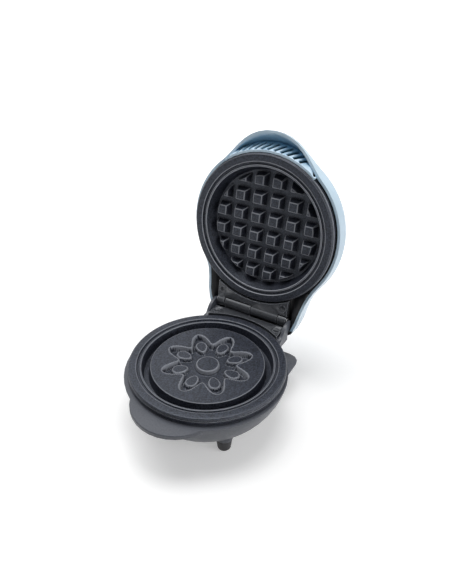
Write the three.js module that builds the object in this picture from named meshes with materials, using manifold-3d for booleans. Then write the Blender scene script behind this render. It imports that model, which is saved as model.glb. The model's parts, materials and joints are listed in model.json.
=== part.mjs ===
// Mini waffle maker with its lid standing open, in millimetres, +Z up.
// X runs along the hinge, Y from the thumb lip at the front to the hinge at the back.
// The lower half is drawn about the centre of its cooking plate, standing on Z = 0.
// The lid is drawn closed, about the same centre line, from the rim of its own plate,
// and then turned open about the hinge.

import * as THREE from "three";
import { mergeVertices } from "three/addons/utils/BufferGeometryUtils.js";
import Module from "manifold-3d";

const wasm = await Module();
wasm.setup();

// General values
const gap = 0.3; // clearance between seated pieces
const overrun = 1; // how far a cut runs past the face it opens
const pinGap = 0.1; // running clearance of the hinge pin
const nearMiddle = 0.01; // a point this near to X = 0 has no mirror image
const quarterTurn = Math.PI / 2;
const halfTurn = Math.PI;
const fullTurn = 2 * Math.PI;
const quarterDegrees = THREE.MathUtils.radToDeg(quarterTurn);
const halfDegrees = THREE.MathUtils.radToDeg(halfTurn);
const across = new THREE.Vector3(1, 0, 0);
const lengthways = new THREE.Vector3(0, 1, 0);

// Facet counts
const bodyFacets = 48;
const plateFacets = 48;
const bossFacets = 16;
const screwFacets = 10;
const barrelFacets = 24;
const tubeSides = 8;
const arcSteps = 6;
const roundSteps = 3;
const nutSides = 6;
const domeSteps = 8;
const bowlSteps = 7;
const profileSteps = 24;
const lidSectors = 72;

// Overall stance
const plateRadius = 58;
const footStand = 10.9; // a foot's height under its boss
const footBossDrop = 1.2;
const bowlDepth = 34.6; // from the rim down to the flat bottom
const rimHeight = footStand + gap + footBossDrop + bowlDepth; // lower plate's rim
const plateGap = 3; // between the two rims when the lid is shut
const hingeBehind = 10; // hinge axis behind the plate's edge
const hingeY = plateRadius + hingeBehind;
const hingeRise = 4.7; // hinge axis above the lower rim
const openAngle = THREE.MathUtils.degToRad(99);

// Cooking plates
const plateStock = 2.6; // cast wall
const skirtHeight = 6; // how far a plate stands proud of its housing
const skirtStock = 2.4;
const rimChamfer = 0.8;
const rimWidth = 6.4;
const rimInnerRadius = plateRadius - rimWidth;
const rimStepDepth = 1.1;
const rimStepWidth = 1.8;
const panRadius = rimInnerRadius - rimStepWidth;
const grooveTop = 1.7; // groove round the skirt, below the rim
const grooveHeight = 0.9;
const grooveDepth = 0.7;

// Lower plate: moat, raised disc and sunk flower
const moatDepth = 9.2;
const moatWallRun = 2.2; // how far a moat wall draws in on its way down
const moatWidth = 3.6;
const discWallRun = 1.8;
const moatFloorOuter = panRadius - moatWallRun;
const moatFloorInner = moatFloorOuter - moatWidth;
const discRadius = moatFloorInner - discWallRun;
const discDepth = 1.5;
const discUnderside = 9.4;
const flowerDepth = 4.6;
const discBorder = 14.7; // plain disc outside the flower's mean circle
const flowerRadius = discRadius - discBorder;
const flowerWave = 6.2;
const flowerPetals = 8;
const flowerSlope = 1.6; // draft of the sunk walls, in plan
const flowerSteps = 64;
const petalInner = 13.4;
const petalOuter = flowerRadius;
const petalHalfWidth = 5.1;
const petalRise = 3.2;
const petalSlope = 1.1;
const petalSwellShare = 0.25; // how much fuller a petal is at its outer end
const petalSteps = 14;
const buttonRadius = 9.4;
const buttonRise = 3.6;

// Upper plate: square-grid pan
const panDepth = 10.8;
const panWallRun = 5.1;
const panFloorRadius = panRadius - panWallRun;
const gridPitch = 14.8;
const gridHalfCount = 3;
const blockBase = 11.2;
const blockTop = 7.2;
const blockHeight = 6.5;
const gridClear = 1.3; // floor left bare round the blocks
const gridRadius = panFloorRadius - gridClear;
const gridTaper = 2.4;

// Plate fixings and heaters, alike in both halves
const plateBossRadius = 4.5;
const plateBossAngles = [30, 150, 270].map(THREE.MathUtils.degToRad);
const plateBossLength = 6.8;
const pilotRadius = 1.9;
const heaterTubeRadius = 3.2;
const heaterInset = 7.2; // heater's middle circle inside the raised disc's edge
const heaterRadius = discRadius - heaterInset;
const plateBossInset = 11; // bosses' circle inside the heater's
const plateBossCircle = heaterRadius - plateBossInset;
const heaterOpening = THREE.MathUtils.degToRad(18);
const baseHeaterLeg = 9;
const lidHeaterLeg = 6.4;
const heaterBend = 4;
const heaterSteps = 26;
const shieldInset = 0.2;
const shieldRadius = discRadius - shieldInset;
const shieldStock = 0.8;
const shieldTurnUp = 3;
const thermostatRadius = 8;
const thermostatHeight = 5.6;
const thermostatFlange = 9.6;
const thermostatFlangeStock = 1;
const fuseRadius = 2.2;
const fuseLength = 12;
const fuseOffset = 16;

// Screws
const screwShankRadius = 1.6;
const screwHeadRadius = 3;
const screwHeadHeight = 2;
const screwHeadEdge = 0.9;
const plateScrewBite = 4.5;
const flatHeadRadius = 2.8;
const flatHeadEdge = 0.4;
const flatHeadHeight = 1.6;
const driverLength = 3;
const driverWidth = 0.8;
const driverDepth = 0.7;

// Lower housing
const housingWall = 2.2;
const housingProud = 2; // housing outside the plate
const housingRadius = plateRadius + housingProud;
const housingCentreY = -2; // housing's centre, a little forward of the plate's
const housingShoulder = 1.2; // straight band below the top edge
const bowlFootInset = 14.8;
const bowlFootRound = 2.8;
const bowlFootRadius = housingRadius - bowlFootInset;
const bowlFlatRadius = bowlFootRadius - bowlFootRound;
const bowlCorner = 1;
const bowlBulgeInset = 3.5;
const bowlBulgeRadius = housingRadius - bowlBulgeInset;
const bowlBulgeRise = 12.6; // above the flat bottom
const deckLedge = 4.4; // deck under the plate's skirt
const deckHoleRadius = plateRadius - deckLedge;
const lipProud = 12;
const lipReach = housingRadius + lipProud; // thumb lip's tip from the plate's centre
const lipRadius = 33.4;
const lipBlend = 9;
const lipThickness = 3.2;
const lipEdge = 0.5;
const lipRun = 25; // how far the lip's underside draws back on its way down
const lipFootRise = 3.6; // lip's lowest point above the flat bottom
const heelHeight = 10.6; // heel's top above the flat bottom
const heelForward = 2; // heel's end in front of the hinge axis
const heelEnd = hingeY - heelForward;
const heelInset = 11.8;
const heelHalfWidth = plateRadius - heelInset;
const heelTaper = THREE.MathUtils.degToRad(1);
const heelBlend = 12;
const heelCorner = 9;
const heelDraft = 4.6;
const heelEdge = 0.9;
const stopTopDepth = 12.2; // top of the cord block, where the open lid leans
const stopBehind = 9; // cord block's end behind the hinge axis
const stopEnd = hingeY + stopBehind;
const stopHalfWidth = 18.5;
const stopTaper = THREE.MathUtils.degToRad(1.5);
const stopBlend = 5;
const stopCorner = 6;
const stopDraft = 1.2;

// Feet
const footFrontInsetX = 14.4;
const footFrontInsetY = 17.2;
const footFrontX = bowlFootRadius - footFrontInsetX;
const footFrontY = footFrontInsetY - bowlFootRadius;
const footRearInsetX = 13.2;
const footRearInsetY = 14;
const footRearX = heelHalfWidth - footRearInsetX;
const footRearY = heelEnd - footRearInsetY;
const footTopRadius = 5.9;
const footTipRadius = 4.1;
const footPatchRadius = 2.4;
const footTipHeight = 2;
const footBossRadius = 6.4;
const footBossHeight = 13; // boss's top above the flat bottom
const footSpigotRadius = 2.6;
const footSpigotLength = 5;

// Hinge
const leafHalfWidth = 31;
const leafStock = 2.5;
const barrelRadius = 4.5;
const knuckleShare = 0.77; // long knuckle's share of a half barrel
const knuckleGap = 0.9;
const pinRadius = 2;
const pinHeadRadius = 3;
const pinHeadStock = 0.6;
const leafPlateGap = 1; // leaf clear of the plate's skirt
const baseLeafTop = 1; // above the lower rim
const lidLeafBottom = -1; // above the lid's rim, in the closed lid
const leafRear = 5; // leaf's rear edge in front of the hinge axis
const hingeScrewInset = 4;
const hingeScrewX = leafHalfWidth - hingeScrewInset;
const hingeScrewForward = 10.7;
const hingeScrewY = hingeY - hingeScrewForward;
const hingeScrewLength = 10;
const cheekClear = 1.2;
const cheekInner = leafHalfWidth + cheekClear;
const cheekStock = 2.4;
const cheekTop = 6.4; // above the lower rim
const cheekLength = 18;
const cheekFront = hingeY - cheekLength;
const cheekNose = 2.4; // cheek behind the hinge axis
const cheekRear = hingeY + cheekNose;
const cheekWaist = hingeY - leafRear;
const cheekUnder = 3.2; // below the lower rim, where a cheek starts to overhang
const pedestalDepth = 9;
const pedestalLength = 24;
const pedestalFront = hingeY - pedestalLength;

// Lid shell
const shellWall = 2;
const shellEdge = 5.5; // lower edge above the lid's rim plane
const shellClear = 3.2; // lower edge outside the plate
const shellSwell = 1.2; // shoulder outside the lower edge
const shellEdgeRadius = plateRadius + shellClear;
const shellRadius = shellEdgeRadius + shellSwell;
const shoulderHeight = 14;
const domeHeight = 30.5;
const domeShoulderShare = 0.62;
const domeCrownShare = 0.66;
const blendRiseShare = 0.25; // a smooth join's height at its middle, of its width
const handleProud = 11.6;
const handleReach = shellRadius + handleProud;
const handleRadius = 35;
const handleBlend = 8;
const handleTip = 8.6;
const handleRoofRun = 8;
const handleRoofY = handleReach - handleRoofRun;
const handleRoofZ = 22.5;
const handleRoofLength = 40;
const handleRoofEndY = handleReach - handleRoofLength;
const handleRoofEndZ = 27.6;
const handleCrestLow = 13;
const handleCrestHigh = 24;
const handleCrestRun = 20;
const tailBehind = 14.5;
const tailEnd = hingeY + tailBehind;
const tailClear = 2; // tail's side outside the hinge cheeks
const tailHalfWidth = cheekInner + cheekStock + tailClear;
const tailTaper = THREE.MathUtils.degToRad(12);
const tailBlend = 6;
const tailCorner = 14;
const tailEdge = 0.5;
const tailEdgeRun = 18; // slope of the tail's lower edge, in plan
const tailEdgeForward = 8;
const tailEdgeRear = hingeY - tailEdgeForward;
const tailEdgeFront = tailEdgeRear - tailEdgeRun;
const tailRoofRun = 10.5;
const tailRoofY = tailEnd - tailRoofRun;
const tailLipRun = 7; // black lip under the tail's end, in plan
const tailLipHeight = 2.2;
const tailRoofZ = 25;
const tailRoofEnd = 14.5;
const tailRoofLength = 46.5;
const tailRoofFrontY = tailEnd - tailRoofLength;
const tailRoofFrontZ = 27.4;
const tailCrestLow = 15;
const tailCrestHigh = 28;
const tailCrestRun = 30;

// Black inner cover of the lid
const surroundClear = 2.6; // surround clear of the hinge barrels
const coverSeat = 7.1; // underside of its ledge
const coverStock = 2;
const coverLedge = 4.8; // cover over the plate's edge
const coverInnerRadius = plateRadius - coverLedge;
const dishWall = 1.8;
const dishRun = 5.6;
const dishTopRadius = coverInnerRadius - dishRun;

// Louvred grille behind the handle
const grilleInset = 2.2;
const grilleRadius = shellEdgeRadius - grilleInset; // inner face at the lower edge
const grilleLow = 1.6; // lower edge above the lid's rim plane
const grilleStock = 1.3;
const grilleFlareShare = 0.37; // outward lean for each unit of height
const grilleHigh = 20;
const grilleBand = 0.4; // below the slots
const louvreCount = 11;
const louvreSlot = 2.8;
const louvreHeight = 10.5;
const louvreHalfAngle = THREE.MathUtils.degToRad(27);
const louvreLean = THREE.MathUtils.degToRad(30);
const collarInset = 2.6;
const collarInner = shellEdgeRadius - collarInset;
const collarStock = 1;
const collarEndRadius = 0.9;
const collarHeight = 1.6;
const collarHalfAngle = THREE.MathUtils.degToRad(37);

// Indicator light
const lensX = 0;
const lensY = -plateBossCircle / 2; // clear of the plate screws and the thermostat
const lensRadius = 3.6;
const lensFlange = 1.4;
const lensFlangeStock = 1.2;
const lensProud = 0.8;
const lensFaceShare = 0.66; // flat face, of the lens radius
const lampRadius = 2.6;
const lampLength = 4;

// Cord inlet and wiring
const glandRise = 10.2; // above the flat bottom
const glandZ = rimHeight - bowlDepth + glandRise;
const glandBore = 3.9;
const glandBodyRadius = 5.8;
const glandFlangeRadius = 8;
const glandFlangeStock = 2;
const glandNutRadius = 7.4;
const glandNutStock = 2.4;
const glandTail = 1.4;
const terminalWidth = 26;
const terminalDepth = 11;
const terminalHeight = 8;
const terminalY = 31;
const terminalWays = 3;
const terminalWall = 1.4;
const terminalSlotDepth = 4.5;

// Solids from geometry and back

function solidFrom(geometry) {
  geometry.deleteAttribute("normal");
  geometry.deleteAttribute("uv");
  const merged = mergeVertices(geometry);
  const places = merged.attributes.position;
  const corners = [];
  const found = merged.index.array;
  for (let i = 0; i < found.length; i += 3) {
    const [a, b, c] = [found[i], found[i + 1], found[i + 2]];
    if (a !== b && b !== c && c !== a) {
      corners.push([a, b, c]);
    }
  }
  const point = (index) => new THREE.Vector3().fromBufferAttribute(places, index);
  const volume = corners.reduce(
    (sum, [a, b, c]) => sum + point(a).dot(point(b).cross(point(c))), 0);
  const outward = volume > 0 ? corners : corners.map(([a, b, c]) => [a, c, b]);
  return new wasm.Manifold(new wasm.Mesh({
    numProp: 3,
    vertProperties: Float32Array.from(places.array),
    triVerts: Uint32Array.from(outward.flat()),
  }));
}

function geometryFrom(solid) {
  const mesh = solid.getMesh();
  const geometry = new THREE.BufferGeometry();
  geometry.setAttribute("position", new THREE.BufferAttribute(mesh.vertProperties, 3));
  geometry.setIndex(new THREE.BufferAttribute(mesh.triVerts, 1));
  geometry.computeVertexNormals();
  return geometry;
}

function joined(solids) {
  return solids.reduce((sum, solid) => sum.add(solid));
}

function cut(solid, tools) {
  return tools.reduce((left, tool) => left.subtract(tool), solid);
}

// Profiles and outlines

function revolve(profile, facets) {
  const points = profile.map(([r, z]) => new THREE.Vector2(r, z));
  return solidFrom(new THREE.LatheGeometry(points, facets).rotateX(quarterTurn));
}

function cylinder(radius, low, high, facets = bossFacets, x = 0, y = 0) {
  return revolve([[0, low], [radius, low], [radius, high], [0, high]], facets)
    .translate([x, y, 0]);
}

function extrudeUp(points, low, high) {
  const shape = new THREE.Shape(points);
  const geometry = new THREE.ExtrudeGeometry(shape, { depth: high - low, bevelEnabled: false });
  return solidFrom(geometry.translate(0, 0, low));
}

// An outline drawn in Y and Z, extruded along X from left to right.
function extrudeAcross(points, left, right) {
  const shape = new THREE.Shape(points);
  const geometry = new THREE.ExtrudeGeometry(shape, { depth: right - left, bevelEnabled: false });
  const turned = new THREE.Matrix4().set(0, 0, 1, left, 1, 0, 0, 0, 0, 1, 0, 0, 0, 0, 0, 1);
  return solidFrom(geometry.applyMatrix4(turned));
}

function box(left, right, front, back, low, high) {
  const geometry = new THREE.BoxGeometry(right - left, back - front, high - low);
  return solidFrom(geometry.translate((left + right) / 2, (front + back) / 2, (low + high) / 2));
}

// A closed solid through outlines of equal point count, each at its own height.
function loft(given) {
  const rings = given.map(({ points, z }) => (
    { points: THREE.ShapeUtils.isClockWise(points) ? [...points].reverse() : points, z }));
  const count = rings[0].points.length;
  const places = rings.flatMap(({ points, z }) => points.flatMap(({ x, y }) => [x, y, z]));
  const faces = [];
  for (let level = 0; level + 1 < rings.length; level += 1) {
    for (let i = 0; i < count; i += 1) {
      const a = level * count + i;
      const b = level * count + ((i + 1) % count);
      faces.push(a, b, b + count, a, b + count, a + count);
    }
  }
  const last = (rings.length - 1) * count;
  THREE.ShapeUtils.triangulateShape(rings[0].points, []).forEach(([a, b, c]) => {
    faces.push(a, c, b);
  });
  THREE.ShapeUtils.triangulateShape(rings.at(-1).points, []).forEach(([a, b, c]) => {
    faces.push(last + a, last + b, last + c);
  });
  const geometry = new THREE.BufferGeometry();
  geometry.setAttribute("position", new THREE.Float32BufferAttribute(places, 3));
  geometry.setIndex(faces);
  return solidFrom(geometry);
}

function polar(radius, angle, x = 0, y = 0) {
  return new THREE.Vector2(x + radius * Math.cos(angle), y + radius * Math.sin(angle));
}

function arc(centre, radius, from, to, steps = arcSteps) {
  const points = [];
  for (let i = 0; i <= steps; i += 1) {
    points.push(polar(radius, from + ((to - from) * i) / steps, centre.x, centre.y));
  }
  return points;
}

// Half an outline, with its other half mirrored in X. Its last point may lie on the middle.
function mirrored(points) {
  const other = points
    .filter(({ x }) => Math.abs(x) > nearMiddle)
    .map(({ x, y }) => new THREE.Vector2(-x, y));
  return [...points, ...other.reverse()];
}

function curvePoints(start, middle, end, steps = arcSteps) {
  return new THREE.QuadraticBezierCurve(start, middle, end).getPoints(steps);
}

const at = (x, y) => new THREE.Vector2(x, y);

// The greater of two values, rounded over where they come near each other.
function smoothMax(a, b, width) {
  const near = Math.max(width - Math.abs(a - b), 0) / width;
  return Math.max(a, b) + near ** 2 * width * blendRiseShare;
}

// How far out a line of points, given upwards, stands at a height.
function reachAt(line, height) {
  const next = line.findIndex(({ y }) => y > height);
  if (next === 0) {
    return line[0].x;
  }
  if (next < 0) {
    return line.at(-1).x;
  }
  const [low, high] = [line[next - 1], line[next]];
  return low.x + ((high.x - low.x) * (height - low.y)) / (high.y - low.y);
}

// Draw-in of a crest that rounds over between two heights.
function crestAt(z, low, high, run) {
  const rise = THREE.MathUtils.clamp((z - low) / (high - low), 0, 1);
  return run * (1 - Math.sqrt(1 - rise ** 2));
}

// Plan of a tongue that grows out of a round body towards the front, blended by
// hollow arcs. It closes on a straight line inside the body. An inset draws it in.
function tongueOutline({ body, reach, radius, blend }, inset) {
  const centreY = reach - radius;
  const bodyToBlend = body + blend;
  const tongueToBlend = radius + blend;
  const blendY = (bodyToBlend ** 2 - tongueToBlend ** 2 + centreY ** 2) / (2 * centreY);
  const blendCentre = at(Math.sqrt(bodyToBlend ** 2 - blendY ** 2), -blendY);
  const fromBody = Math.atan2(blendCentre.y, blendCentre.x);
  const fromTongue = Math.atan2(blendCentre.y + centreY, blendCentre.x);
  const hollow = arc(blendCentre, blend + inset, fromBody + halfTurn, fromTongue + halfTurn);
  const nose = arc(at(0, -centreY), radius - inset, fromTongue, -quarterTurn, arcSteps);
  return mirrored([...hollow, ...nose.slice(1)]);
}

// Plan of a tapered tail that grows out of a round body towards the back, with hollow
// blends at the body and round corners at its end.
function tailOutline({ body, end, halfWidth, taper, blend, corner }, inset) {
  const normal = polar(1, taper);
  const along = polar(1, taper + quarterTurn);
  const sideAt = halfWidth * normal.x + end * normal.y;
  const reachAlong = Math.sqrt((body + blend) ** 2 - (sideAt + blend) ** 2);
  const blendCentre = normal.clone().multiplyScalar(sideAt + blend)
    .addScaledVector(along, reachAlong);
  const fromBody = Math.atan2(blendCentre.y, blendCentre.x);
  const hollow = arc(blendCentre, blend + inset, fromBody + halfTurn, taper + halfTurn);
  const cornerY = end - corner;
  const cornerX = (sideAt - corner - cornerY * normal.y) / normal.x;
  const round = arc(at(cornerX, cornerY), corner - inset, taper, quarterTurn, roundSteps);
  return mirrored([...hollow, ...round]);
}

function disc(radius, facets, x = 0, y = 0) {
  const points = [];
  for (let i = 0; i < facets; i += 1) {
    points.push(polar(radius, (fullTurn * i) / facets, x, y));
  }
  return points;
}

// Heights of the main levels

const plateUnderside = rimHeight - discUnderside;
const deckTop = rimHeight - skirtHeight - gap;
const bowlBottom = rimHeight - bowlDepth;
const floorTop = bowlBottom + housingWall;
const plateBossBottom = plateUnderside - plateBossLength;
const baseShieldTop = plateBossBottom - gap;
const basePostTop = baseShieldTop - shieldStock - gap;
const stopTop = rimHeight - stopTopDepth;
const hingeZ = rimHeight + hingeRise;
const lidAxisZ = hingeRise - plateGap; // hinge axis above the lid's rim plane
const panUnderside = panDepth + plateStock;
const lidBossTop = panUnderside + plateBossLength;
const dishUnderside = lidBossTop + shieldStock + 2 * gap;
const dishTop = dishUnderside + dishWall;
const coverTop = coverSeat + coverStock;

// Lower cooking plate

function flowerOutline(inset) {
  const points = [];
  for (let i = 0; i < flowerSteps; i += 1) {
    const angle = (fullTurn * i) / flowerSteps;
    points.push(polar(flowerRadius - inset + flowerWave * Math.cos(flowerPetals * angle), angle));
  }
  return points;
}

function petalOutline(angle, inset) {
  const middle = (petalInner + petalOuter) / 2;
  const halfLength = (petalOuter - petalInner) / 2 - inset;
  const points = [];
  for (let i = 0; i < petalSteps; i += 1) {
    const turn = (fullTurn * i) / petalSteps;
    const swell = 1 + petalSwellShare * Math.cos(turn);
    const x = middle + halfLength * Math.cos(turn);
    const y = (petalHalfWidth - inset) * swell * Math.sin(turn);
    points.push(at(x, y).rotateAround(at(0, 0), angle));
  }
  return points;
}

function platePlacedBosses(low, high) {
  return plateBossAngles.map((angle) => {
    const place = polar(plateBossCircle, angle);
    return cylinder(plateBossRadius, low, high, bossFacets, place.x, place.y);
  });
}

function platePilots(low, high) {
  return plateBossAngles.map((angle) => {
    const place = polar(plateBossCircle, angle);
    return cylinder(pilotRadius, low, high, screwFacets, place.x, place.y);
  });
}

// The groove round a plate's skirt, as radii and depths below the rim.
function skirtGroove() {
  return [
    [plateRadius, grooveTop],
    [plateRadius - grooveDepth, grooveTop],
    [plateRadius - grooveDepth, grooveTop + grooveHeight],
    [plateRadius, grooveTop + grooveHeight],
  ];
}

function basePlate() {
  const z = (depth) => rimHeight - depth;
  const casting = revolve([
    [0, z(discDepth)],
    [discRadius, z(discDepth)],
    [moatFloorInner, z(moatDepth)],
    [moatFloorOuter, z(moatDepth)],
    [panRadius, z(rimStepDepth)],
    [rimInnerRadius - rimChamfer, z(rimStepDepth)],
    [rimInnerRadius, z(0)],
    [plateRadius - rimChamfer, z(0)],
    [plateRadius, z(rimChamfer)],
    ...skirtGroove().map(([radius, depth]) => [radius, z(depth)]),
    [plateRadius, z(skirtHeight)],
    [plateRadius - skirtStock, z(skirtHeight)],
    [plateRadius - skirtStock, z(plateStock)],
    [panRadius + plateStock, z(rimStepDepth + plateStock)],
    [moatFloorOuter + plateStock, z(moatDepth + plateStock)],
    [moatFloorInner - plateStock, z(moatDepth + plateStock)],
    [discRadius - plateStock, z(discUnderside)],
    [0, z(discUnderside)],
  ], plateFacets);
  const flower = loft([
    { points: flowerOutline(flowerSlope), z: z(discDepth + flowerDepth) },
    { points: flowerOutline(-flowerSlope * (overrun / flowerDepth)), z: z(discDepth - overrun) },
  ]);
  const petals = [];
  for (let i = 0; i < flowerPetals; i += 1) {
    const angle = (fullTurn * i) / flowerPetals;
    petals.push(loft([
      { points: petalOutline(angle, 0), z: z(discDepth + flowerDepth + overrun) },
      { points: petalOutline(angle, 0), z: z(discDepth + flowerDepth) },
      { points: petalOutline(angle, petalSlope), z: z(discDepth + flowerDepth - petalRise) },
    ]));
  }
  const button = revolve([
    [0, z(discDepth + flowerDepth + overrun)],
    [buttonRadius, z(discDepth + flowerDepth + overrun)],
    [buttonRadius, z(discDepth + flowerDepth)],
    [buttonRadius - petalSlope, z(discDepth + flowerDepth - buttonRise)],
    [0, z(discDepth + flowerDepth - buttonRise)],
  ], barrelFacets);
  const bosses = platePlacedBosses(plateBossBottom, z(discDepth + flowerDepth + overrun));
  const plate = joined([casting.subtract(flower), ...petals, button, ...bosses]);
  return cut(plate, platePilots(plateBossBottom - overrun, plateBossBottom + plateScrewBite + overrun));
}

// Upper cooking plate, rim plane at Z = 0 and pan upwards

function gridBlock(x, y) {
  const square = (side) => [[1, 1], [-1, 1], [-1, -1], [1, -1]].map(
    ([sx, sy]) => at(x + (sx * side) / 2, y + (sy * side) / 2));
  return loft([
    { points: square(blockTop), z: panDepth - blockHeight },
    { points: square(blockBase), z: panDepth },
    { points: square(blockBase), z: panDepth + overrun },
  ]);
}

function lidPlate() {
  const casting = revolve([
    [0, panDepth],
    [panFloorRadius, panDepth],
    [panRadius, rimStepDepth],
    [rimInnerRadius - rimChamfer, rimStepDepth],
    [rimInnerRadius, 0],
    [plateRadius - rimChamfer, 0],
    [plateRadius, rimChamfer],
    ...skirtGroove(),
    [plateRadius, skirtHeight],
    [plateRadius - skirtStock, skirtHeight],
    [plateRadius - skirtStock, plateStock],
    [panRadius + plateStock, rimStepDepth + plateStock],
    [panFloorRadius + plateStock, panUnderside],
    [0, panUnderside],
  ], plateFacets);
  const blocks = [];
  for (let i = -gridHalfCount; i < gridHalfCount; i += 1) {
    for (let j = -gridHalfCount; j < gridHalfCount; j += 1) {
      const x = (i + 1 / 2) * gridPitch;
      const y = (j + 1 / 2) * gridPitch;
      if (Math.hypot(x, y) < gridRadius + blockTop / 2) {
        blocks.push(gridBlock(x, y));
      }
    }
  }
  const bound = revolve([
    [0, panDepth - blockHeight - overrun],
    [gridRadius - gridTaper, panDepth - blockHeight - overrun],
    [gridRadius - gridTaper, panDepth - blockHeight],
    [gridRadius, panDepth],
    [gridRadius, panDepth + overrun],
    [0, panDepth + overrun],
  ], plateFacets);
  const grid = joined(blocks).intersect(bound);
  const bosses = platePlacedBosses(panDepth + overrun, lidBossTop);
  const plate = joined([casting, grid, ...bosses]);
  return cut(plate, platePilots(lidBossTop - plateScrewBite - overrun, lidBossTop + overrun));
}

// Heaters and controls under each plate, drawn hanging below Z = 0

function heater(legLength) {
  const points = [];
  const legX = (side) => side * heaterRadius * Math.sin(heaterOpening);
  const legY = heaterRadius * Math.cos(heaterOpening);
  const leg = (side) => [
    new THREE.Vector3(legX(side), legY, -heaterTubeRadius - legLength),
    new THREE.Vector3(legX(side), legY, -heaterTubeRadius - (legLength + heaterBend) / 2),
    new THREE.Vector3(legX(side), legY, -heaterTubeRadius - heaterBend),
  ];
  points.push(...leg(1));
  const start = quarterTurn - heaterOpening;
  const sweep = fullTurn - 2 * heaterOpening;
  const lead = heaterBend / heaterRadius;
  for (let i = 0; i <= heaterSteps; i += 1) {
    const angle = start - lead - ((sweep - 2 * lead) * i) / heaterSteps;
    const place = polar(heaterRadius, angle);
    points.push(new THREE.Vector3(place.x, place.y, -heaterTubeRadius));
  }
  points.push(...leg(-1).reverse());
  const path = new THREE.CatmullRomCurve3(points);
  const section = new THREE.Shape(disc(heaterTubeRadius, tubeSides));
  return solidFrom(new THREE.ExtrudeGeometry(section, {
    steps: points.length + arcSteps,
    extrudePath: path,
    bevelEnabled: false,
  }));
}

// The way through a pan for the heater's two legs.
function heaterLegNotch(low, high) {
  const front = heaterRadius * Math.cos(heaterOpening) - 2 * heaterTubeRadius;
  const side = heaterRadius * Math.sin(heaterOpening) + heaterTubeRadius + heaterBend;
  return box(-side, side, front, shieldRadius + shieldTurnUp, low, high);
}

// Pressed pan with a turned-up edge, its floor's upper face at Z = 0.
function heatShield() {
  const pan = revolve([
    [0, 0],
    [shieldRadius - shieldStock, 0],
    [shieldRadius + shieldStock, shieldTurnUp],
    [shieldRadius + 2 * shieldStock, shieldTurnUp],
    [shieldRadius, -shieldStock],
    [0, -shieldStock],
  ], plateFacets);
  return cut(pan, [
    heaterLegNotch(-shieldTurnUp, shieldTurnUp + overrun),
    ...platePilots(-shieldTurnUp, shieldTurnUp),
  ]);
}

// Snap-disc thermostat: a flanged can with two blade terminals.
function thermostat() {
  const can = revolve([
    [0, 0],
    [thermostatRadius, 0],
    [thermostatRadius, -thermostatHeight],
    [0, -thermostatHeight],
  ], bossFacets);
  const half = thermostatRadius / 2;
  const flange = box(-thermostatFlange, thermostatFlange, -half, half, -thermostatFlangeStock, 0);
  const blades = [-1, 1].map((side) => box(
    side * half - thermostatFlangeStock, side * half + thermostatFlangeStock,
    -thermostatFlange, thermostatFlange,
    -thermostatHeight, -thermostatHeight + thermostatFlangeStock));
  return joined([can, flange, ...blades]);
}

// Thermal fuse: a small can lying under the plate.
function thermalFuse() {
  const can = revolve([
    [0, -fuseLength / 2],
    [fuseRadius / 2, -fuseLength / 2],
    [fuseRadius, -fuseLength / 2 + fuseRadius / 2],
    [fuseRadius, fuseLength / 2 - fuseRadius / 2],
    [fuseRadius / 2, fuseLength / 2],
    [0, fuseLength / 2],
  ], screwFacets);
  return can.rotate([quarterDegrees, 0, 0]).translate([fuseOffset, -fuseOffset / 2, -fuseRadius]);
}

// Screws pointing up, each with a cross cut for the driver

function driverCross(low) {
  const half = driverLength / 2;
  const bar = box(-half, half, -driverWidth / 2, driverWidth / 2, low - overrun, low + driverDepth);
  return bar.add(bar.rotate([0, 0, quarterDegrees]));
}

// Round-headed, with the head's seat at Z = 0.
function screw(length) {
  return revolve([
    [0, -screwHeadHeight],
    [screwHeadRadius / 2, -screwHeadHeight],
    [screwHeadRadius - screwHeadEdge / 2, -screwHeadHeight + screwHeadEdge / 2],
    [screwHeadRadius, -screwHeadEdge],
    [screwHeadRadius, 0],
    [screwShankRadius, 0],
    [screwShankRadius, length - screwShankRadius],
    [0, length],
  ], screwFacets).subtract(driverCross(-screwHeadHeight));
}

// Flat-headed, with the head's face at Z = 0.
function flatScrew(length) {
  return revolve([
    [0, 0],
    [flatHeadRadius, 0],
    [flatHeadRadius, flatHeadEdge],
    [screwShankRadius, flatHeadHeight],
    [screwShankRadius, length - screwShankRadius],
    [0, length],
  ], screwFacets).subtract(driverCross(0));
}

// Lower housing

const bowlBandZ = deckTop - housingShoulder;
const lip = { body: housingRadius, reach: lipReach, radius: lipRadius, blend: lipBlend };
const stopBlock = {
  body: bowlFootRadius + heelDraft, end: stopEnd, halfWidth: stopHalfWidth,
  taper: stopTaper, blend: stopBlend, corner: stopCorner,
};

const bowlWall = curvePoints(
  at(bowlFootRadius, bowlBottom + bowlCorner),
  at(bowlBulgeRadius, bowlBottom + bowlBulgeRise),
  at(housingRadius, bowlBandZ),
  bowlSteps,
);

function bowl(inset) {
  return revolve([
    [0, bowlBottom + inset],
    [bowlFlatRadius - inset, bowlBottom + inset],
    ...bowlWall.map(({ x, y }) => [x - inset, y + inset / 2]),
    [housingRadius - inset, deckTop - inset],
    [0, deckTop - inset],
  ], bodyFacets).translate([0, housingCentreY, 0]);
}

function thumbLip(inset) {
  const top = deckTop - inset;
  const side = top - lipThickness;
  return loft([
    { points: tongueOutline(lip, lipRun + inset), z: bowlBottom + lipFootRise + inset },
    { points: tongueOutline(lip, inset), z: side },
    { points: tongueOutline(lip, inset), z: top - lipEdge },
    { points: tongueOutline(lip, lipEdge + inset), z: top },
  ]);
}

// The heel's plan where the bowl's wall has the given radius.
function heelOutline(body, draft, inset) {
  return tailOutline({
    body, end: heelEnd - draft, halfWidth: heelHalfWidth - draft,
    taper: heelTaper, blend: heelBlend, corner: heelCorner - draft / 2,
  }, inset);
}

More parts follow.
